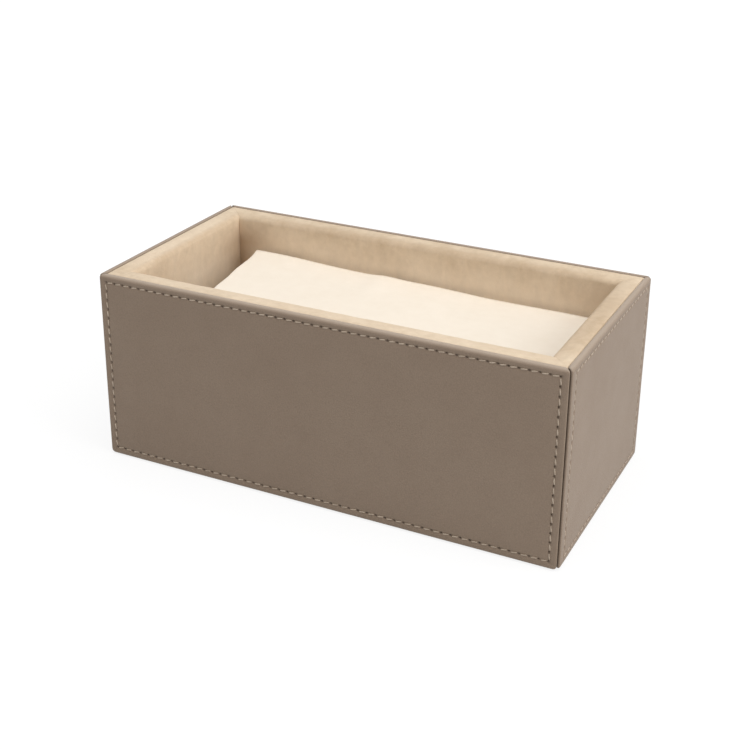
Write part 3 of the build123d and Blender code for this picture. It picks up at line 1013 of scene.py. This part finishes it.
def make_grain_group():
    """Leather grain: small cells with creases between, bent by noise, and a finer noise over them."""
    group, vector, scale, result = new_group("leather_grain", ["Height", "Crease"])
    bend = add_noise(group, vector, calculate(group, "MULTIPLY", scale, GRAIN_BEND), Detail=2.0)
    reach = {0: bend.outputs["Color"], 3: GRAIN_BEND_REACH * MM}
    push = add_node(group, "ShaderNodeVectorMath", reach, operation="SCALE")
    bent = add_node(group, "ShaderNodeVectorMath", {0: vector, 1: push.outputs[0]})
    pattern = {"Vector": bent.outputs[0], "Scale": scale}
    cells = add_node(group, "ShaderNodeTexVoronoi", pattern, feature="DISTANCE_TO_EDGE")
    crease = fit_range(group, cells.outputs["Distance"], GRAIN_CREASE_STRETCH, UNIT[::-1])
    fine = add_noise(group, vector, calculate(group, "MULTIPLY", scale, GRAIN_FINE), Detail=3.0)
    group.links.new(calculate(group, "SUBTRACT", fine.outputs[0], crease), result["Height"])
    group.links.new(crease, result["Crease"])
    return group


def make_nap_group():
    """Short raised fibres: a fine noise stretched one way, with brushed patches that lie lighter or
    darker."""
    group, vector, scale, result = new_group("raised_nap", ["Height", "Patch"])
    stretch = add_node(group, "ShaderNodeVectorMath", {0: vector, 1: NAP_DRAWN}, operation="MULTIPLY")
    drawn = stretch.outputs[0]
    fibre = add_noise(group, drawn, scale, Detail=5.0, Roughness=0.65)
    broad = calculate(group, "MULTIPLY", scale, NAP_PATCH)
    brushed = add_noise(group, drawn, broad, Detail=4.0, Roughness=0.55, Distortion=0.6)
    group.links.new(fibre.outputs[0], result["Height"])
    group.links.new(fit_range(group, brushed.outputs[0], NAP_PATCH_STRETCH, UNIT), result["Patch"])
    return group


def make_weave_group():
    """Plain weave on the cloth map: the product of a sine wave across and one along, which take turns on
    top."""
    group, vector, scale, result = new_group("plain_weave", ["Height"])
    parts = add_node(group, "ShaderNodeSeparateXYZ", {0: vector})
    waves = []
    for axis in range(2):
        phase = calculate(group, "MULTIPLY", parts.outputs[axis], scale)
        waves.append(calculate(group, "SINE", phase, 0.0))
    group.links.new(calculate(group, "MULTIPLY", *waves), result["Height"])
    return group


CLOUD = make_cloud_group()
GRAIN = make_grain_group()
NAP = make_nap_group()
WEAVE = make_weave_group()


# Materials

def place_group(tree, group, vector, scale):
    """The outputs of a node group placed in a material with its own scale."""
    made = tree.nodes.new("ShaderNodeGroup")
    made.node_tree = group
    tree.links.new(vector, made.inputs["Vector"])
    made.inputs["Scale"].default_value = scale
    return made.outputs


def start_material(name):
    """A new material: its node tree, its Principled shader, and the Object and UV coordinates."""
    material = bpy.data.materials.new(name)
    material.use_nodes = True
    tree = material.node_tree
    coordinates = tree.nodes.new("ShaderNodeTexCoord").outputs
    return material, tree, tree.nodes["Principled BSDF"], coordinates["Object"], coordinates["UV"]


def set_shader(shader, values):
    """Plain values on a shader's own sockets."""
    for name, value in values.items():
        shader.inputs[name].default_value = value


def add_bump(tree, shader, height, depth, strength):
    """A bump of a depth in millimetres on the shader's normal."""
    inputs = {"Height": height, "Distance": depth * MM, "Strength": strength}
    bump = add_node(tree, "ShaderNodeBump", inputs)
    tree.links.new(bump.outputs["Normal"], shader.inputs["Normal"])


def read_value(tree, name):
    """A value that a mesh carries at its points."""
    return add_node(tree, "ShaderNodeAttribute", attribute_name=name).outputs["Fac"]


def make_leather_material(name, hole_shade_share):
    """Smooth taupe leather: a cloudy tone, and over it in turn the creases of a fine grain, a painted
    highlight on the rolled edges, painted shade on the panel ends at the joints and painted shade in the
    needle holes, each by its share."""
    material, tree, shader, spot, _ = start_material(name)
    tone = place_group(tree, CLOUD, spot, LEATHER_CLOUD_SCALE)["Tone"]
    grain = place_group(tree, GRAIN, spot, LEATHER_GRAIN_SCALE)
    colour = blend_colours(tree, tone, *LEATHER_TONES)
    layers = (
        (grain["Crease"], LEATHER_CREASE_SHARE, LEATHER_CREASE),
        (read_value(tree, "rolled_edge_highlight"), LEATHER_HIGHLIGHT_SHARE, LEATHER_HIGHLIGHT),
        (read_value(tree, "joint_shade"), LEATHER_JOINT_SHADE_SHARE, LEATHER_JOINT_SHADE),
        (read_value(tree, "needle_hole_shade"), hole_shade_share, NEEDLE_HOLE_SHADE),
    )
    for mask, share, layer in layers:
        colour = blend_colours(tree, calculate(tree, "MULTIPLY", mask, share), colour, layer)
    tree.links.new(colour, shader.inputs["Base Color"])
    tree.links.new(fit_range(tree, tone, UNIT, LEATHER_ROUGH), shader.inputs["Roughness"])
    set_shader(shader, {"Specular IOR Level": 0.36})
    add_bump(tree, shader, grain["Height"], *LEATHER_BUMP)
    return material


def make_suede_material(name, on_walls):
    """Beige suede: a soft raised nap with brushed patches, a fine mottle and a pale sheen. On the walls it
    also carries painted light and painted shade, by the values that the mesh carries."""
    material, tree, shader, spot, _ = start_material(name)
    tone = place_group(tree, CLOUD, spot, SUEDE_CLOUD_SCALE)["Tone"]
    nap = place_group(tree, NAP, spot, SUEDE_NAP_SCALE)
    colour = blend_colours(tree, tone, *SUEDE_TONES)
    patch = calculate(tree, "MULTIPLY", nap["Patch"], SUEDE_PATCH_SHARE)
    colour = blend_colours(tree, patch, colour, SUEDE_PATCH)
    if on_walls:
        # Painted light and painted shade on the walls' suede
        colour = blend_colours(tree, read_value(tree, "painted_light"), colour, SUEDE_PAINTED_LIGHT)
        colour = blend_colours(tree, read_value(tree, "painted_shade"), colour, SUEDE_PAINTED_SHADE)
    fleck = place_group(tree, NAP, spot, SUEDE_MOTTLE_SCALE)["Patch"]
    mottle = fit_range(tree, fleck, UNIT, SUEDE_MOTTLE)
    colour = blend_colours(tree, 1.0, colour, mottle, "MULTIPLY")
    tree.links.new(colour, shader.inputs["Base Color"])
    set_shader(shader, {
        "Roughness": 0.95, "Specular IOR Level": 0.12,
        "Sheen Weight": 0.12, "Sheen Roughness": 0.5, "Sheen Tint": SUEDE_SHEEN,
    })
    add_bump(tree, shader, nap["Height"], *SUEDE_BUMP)
    return material


def make_thread_material(name, tones):
    """Pale waxed thread with its fibres, in two tones."""
    material, tree, shader, spot, _ = start_material(name)
    nap = place_group(tree, NAP, spot, THREAD_NAP_SCALE)
    tree.links.new(blend_colours(tree, nap["Patch"], *tones), shader.inputs["Base Color"])
    set_shader(shader, {"Roughness": 0.7, "Specular IOR Level": 0.25})
    add_bump(tree, shader, nap["Height"], *THREAD_BUMP)
    return material


def make_towel_material(name):
    """Cream woven cotton: a cloudy tone, a plain weave on the cloth map with raised fibres, and a soft
    sheen."""
    material, tree, shader, spot, cloth = start_material(name)
    weave = place_group(tree, WEAVE, cloth, TOWEL_WEAVE_SCALE)["Height"]
    tone = place_group(tree, CLOUD, spot, TOWEL_CLOUD_SCALE)["Tone"]
    nap = place_group(tree, NAP, spot, TOWEL_NAP_SCALE)
    colour = blend_colours(tree, tone, *TOWEL_TONES)
    shadow = fit_range(tree, weave, SINE_RANGE, TOWEL_WEAVE_SHARES)
    colour = blend_colours(tree, shadow, colour, TOWEL_WEAVE)
    tree.links.new(colour, shader.inputs["Base Color"])
    set_shader(shader, {"Roughness": 0.92, "Specular IOR Level": 0.15, "Sheen Weight": 0.10})
    add_bump(tree, shader, calculate(tree, "ADD", weave, nap["Height"]), *TOWEL_BUMP)
    return material


def make_plain_material(name, first, second, scale, rough, metal):
    """A plain finish: two tones of fibre at a given scale."""
    material, tree, shader, spot, _ = start_material(name)
    nap = place_group(tree, NAP, spot, scale)
    tree.links.new(blend_colours(tree, nap["Height"], first, second), shader.inputs["Base Color"])
    set_shader(shader, {"Roughness": rough, "Metallic": metal})
    add_bump(tree, shader, nap["Height"], *PLAIN_BUMP)
    return material


leather_long = make_leather_material("leather_long_panels", LONG_HOLE_SHADE_SHARE)
leather_short = make_leather_material("leather_short_panels", SHORT_HOLE_SHADE_SHARE)
thread_long = make_thread_material("thread_long_panels", LONG_THREAD_TONES)
thread_short = make_thread_material("thread_short_panels", SHORT_THREAD_LIGHTENED_TONES)
suede = make_suede_material("suede", True)
floor_nap = make_suede_material("floor_suede", False)
towel_cloth = make_towel_material("towel_cotton")
plain = {name: make_plain_material(name, *values) for name, values in PLAIN_FINISHES.items()}

# The pieces

for number, side in enumerate(SIDES):
    leather = leather_long if side in LONG_SIDES else leather_short
    thread = thread_long if side in LONG_SIDES else thread_short
    panel = make_leather(side, leather, LEATHER_SEED + number)
    make_stitches(side, panel, thread, THREAD_SEED + number)
    make_foam_pad(side, plain["foam"])
    make_lining(side, suede, SUEDE_SEED + number)

floor_suede, floor_size = make_soft_slab(
    "floor_suede", "floor_lining", floor_nap, FLOOR_SOFT_EDGE, FLOOR_SUEDE_WAVE)
floor_foam, _ = make_soft_slab("floor_foam", "floor_pad", plain["foam"], FLOOR_SOFT_EDGE)
base_felt, base_size = make_soft_slab("base_felt", "base_cover", plain["base_felt"], BASE_SOFT_EDGE)
for number in range(1, TOWEL_COUNT + 1):
    make_towel(number, towel_cloth)

hidden_finishes = {"core_brads": plain["brad_steel"], "core_floor": plain["fibreboard"]}
for side in SIDES:
    hidden_finishes[f"core_{side}"] = plain["fibreboard"]
    hidden_finishes[f"{side}_board"] = plain["card"]
for node, finish in hidden_finishes.items():
    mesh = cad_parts[node].data
    mesh.materials.clear()
    mesh.materials.append(finish)

# Floor, light and camera

def shown_directly(tree):
    """1 where a surface is seen by the camera, in a reflection or through glass, and 0 where it only
    lights others."""
    path = tree.nodes.new("ShaderNodeLightPath").outputs
    seen = calculate(tree, "MAXIMUM", path["Is Camera Ray"], path["Is Glossy Ray"])
    return calculate(tree, "MAXIMUM", seen, path["Is Transmission Ray"])


def make_floor():
    """A level pale floor: to the camera it adds white to a diffuse part that keeps the box's shadow,
    more of it far from the box, where less light falls."""
    corners = np.array([(-1, -1, 0), (1, -1, 0), (1, 1, 0), (-1, 1, 0)]) * FLOOR_HALF
    mesh = bpy.data.meshes.new("floor")
    mesh.from_pydata((corners * MM).tolist(), [], [(0, 1, 2, 3)])
    floor = bpy.data.objects.new("floor", mesh)
    bpy.context.scene.collection.objects.link(floor)
    material = bpy.data.materials.new("pale_floor")
    material.use_nodes = True
    tree = material.node_tree
    tree.nodes.clear()
    lit = add_node(tree, "ShaderNodeBsdfDiffuse", {"Color": FLOOR_LIT})
    soft = add_node(tree, "ShaderNodeBsdfDiffuse", {"Color": FLOOR_SEEN})
    spot = tree.nodes.new("ShaderNodeTexCoord").outputs["Object"]
    away = add_node(tree, "ShaderNodeVectorMath", {0: spot}, operation="LENGTH").outputs["Value"]
    strength = fit_range(tree, away, (FLOOR_GLOW_NEAR * MM, FLOOR_GLOW_FAR * MM), FLOOR_GLOW)
    glow = add_node(tree, "ShaderNodeEmission", {"Color": WHITE, "Strength": strength})
    shown = add_node(tree, "ShaderNodeAddShader", {0: soft.outputs[0], 1: glow.outputs[0]})
    shaders = {0: shown_directly(tree), 1: lit.outputs[0], 2: shown.outputs[0]}
    mixed = add_node(tree, "ShaderNodeMixShader", shaders)
    add_node(tree, "ShaderNodeOutputMaterial", {"Surface": mixed.outputs[0]})
    mesh.materials.append(material)


def make_world():
    """Even soft light from all round, which the camera and reflections see as white."""
    world = bpy.data.worlds.new("studio")
    bpy.context.scene.world = world
    world.use_nodes = True
    tree = world.node_tree
    tree.nodes.clear()
    strength = fit_range(tree, shown_directly(tree), UNIT, (WORLD_STRENGTH, 1.0))
    background = add_node(tree, "ShaderNodeBackground", {"Color": WHITE, "Strength": strength})
    add_node(tree, "ShaderNodeOutputWorld", {"Surface": background.outputs[0]})


def set_up(name, data, right, upward, back, spot):
    """A lamp or camera in the scene, at a spot in millimetres, with its own three directions."""
    made = bpy.data.objects.new(name, data)
    bpy.context.scene.collection.objects.link(made)
    matrix = Matrix.Identity(4)
    for row in range(3):
        matrix[row] = (right[row], upward[row], back[row], spot[row] * MM)
    made.matrix_world = matrix
    return made


def make_lamp(name, spot, size, power):
    """A square soft box that faces the lamps' target. Its right is level, or square to the box's depth
    where it looks down steeply."""
    lamp = bpy.data.lights.new(name, "AREA")
    lamp.size = size * MM
    lamp.energy = power
    back = np.array(spot) - np.array(LAMP_TARGET)
    back = back / np.linalg.norm(back)
    right = np.cross((0.0, 1.0, 0.0) if abs(back[2]) > STEEP else (0.0, 0.0, 1.0), back)
    right = right / np.linalg.norm(right)
    set_up(name, lamp, right, np.cross(back, right), back, spot)


def make_camera():
    """The photograph's viewpoint: turned to the right of the front, above it, with a slight roll."""
    turn, rise, roll = np.radians([CAMERA_TURN, CAMERA_RISE, CAMERA_ROLL])
    back = np.array([np.sin(turn) * np.cos(rise), -np.cos(turn) * np.cos(rise), np.sin(rise)])
    plain_right = np.array([np.cos(turn), np.sin(turn), 0.0])
    plain_upward = np.cross(back, plain_right)
    right = plain_right * np.cos(roll) + plain_upward * np.sin(roll)
    upward = plain_upward * np.cos(roll) - plain_right * np.sin(roll)
    camera = bpy.data.cameras.new("camera")
    camera.lens = CAMERA_LENS
    camera.sensor_width = CAMERA_SENSOR
    camera.shift_y = CAMERA_SHIFT
    spot = back * CAMERA_BACK + right * CAMERA_RIGHT + upward * CAMERA_UP
    bpy.context.scene.camera = set_up("camera", camera, right, upward, back, spot)


make_floor()
make_world()
for name, values in LAMPS.items():
    make_lamp(name, *values)
make_camera()
bpy.context.scene.view_settings.view_transform = "Standard"
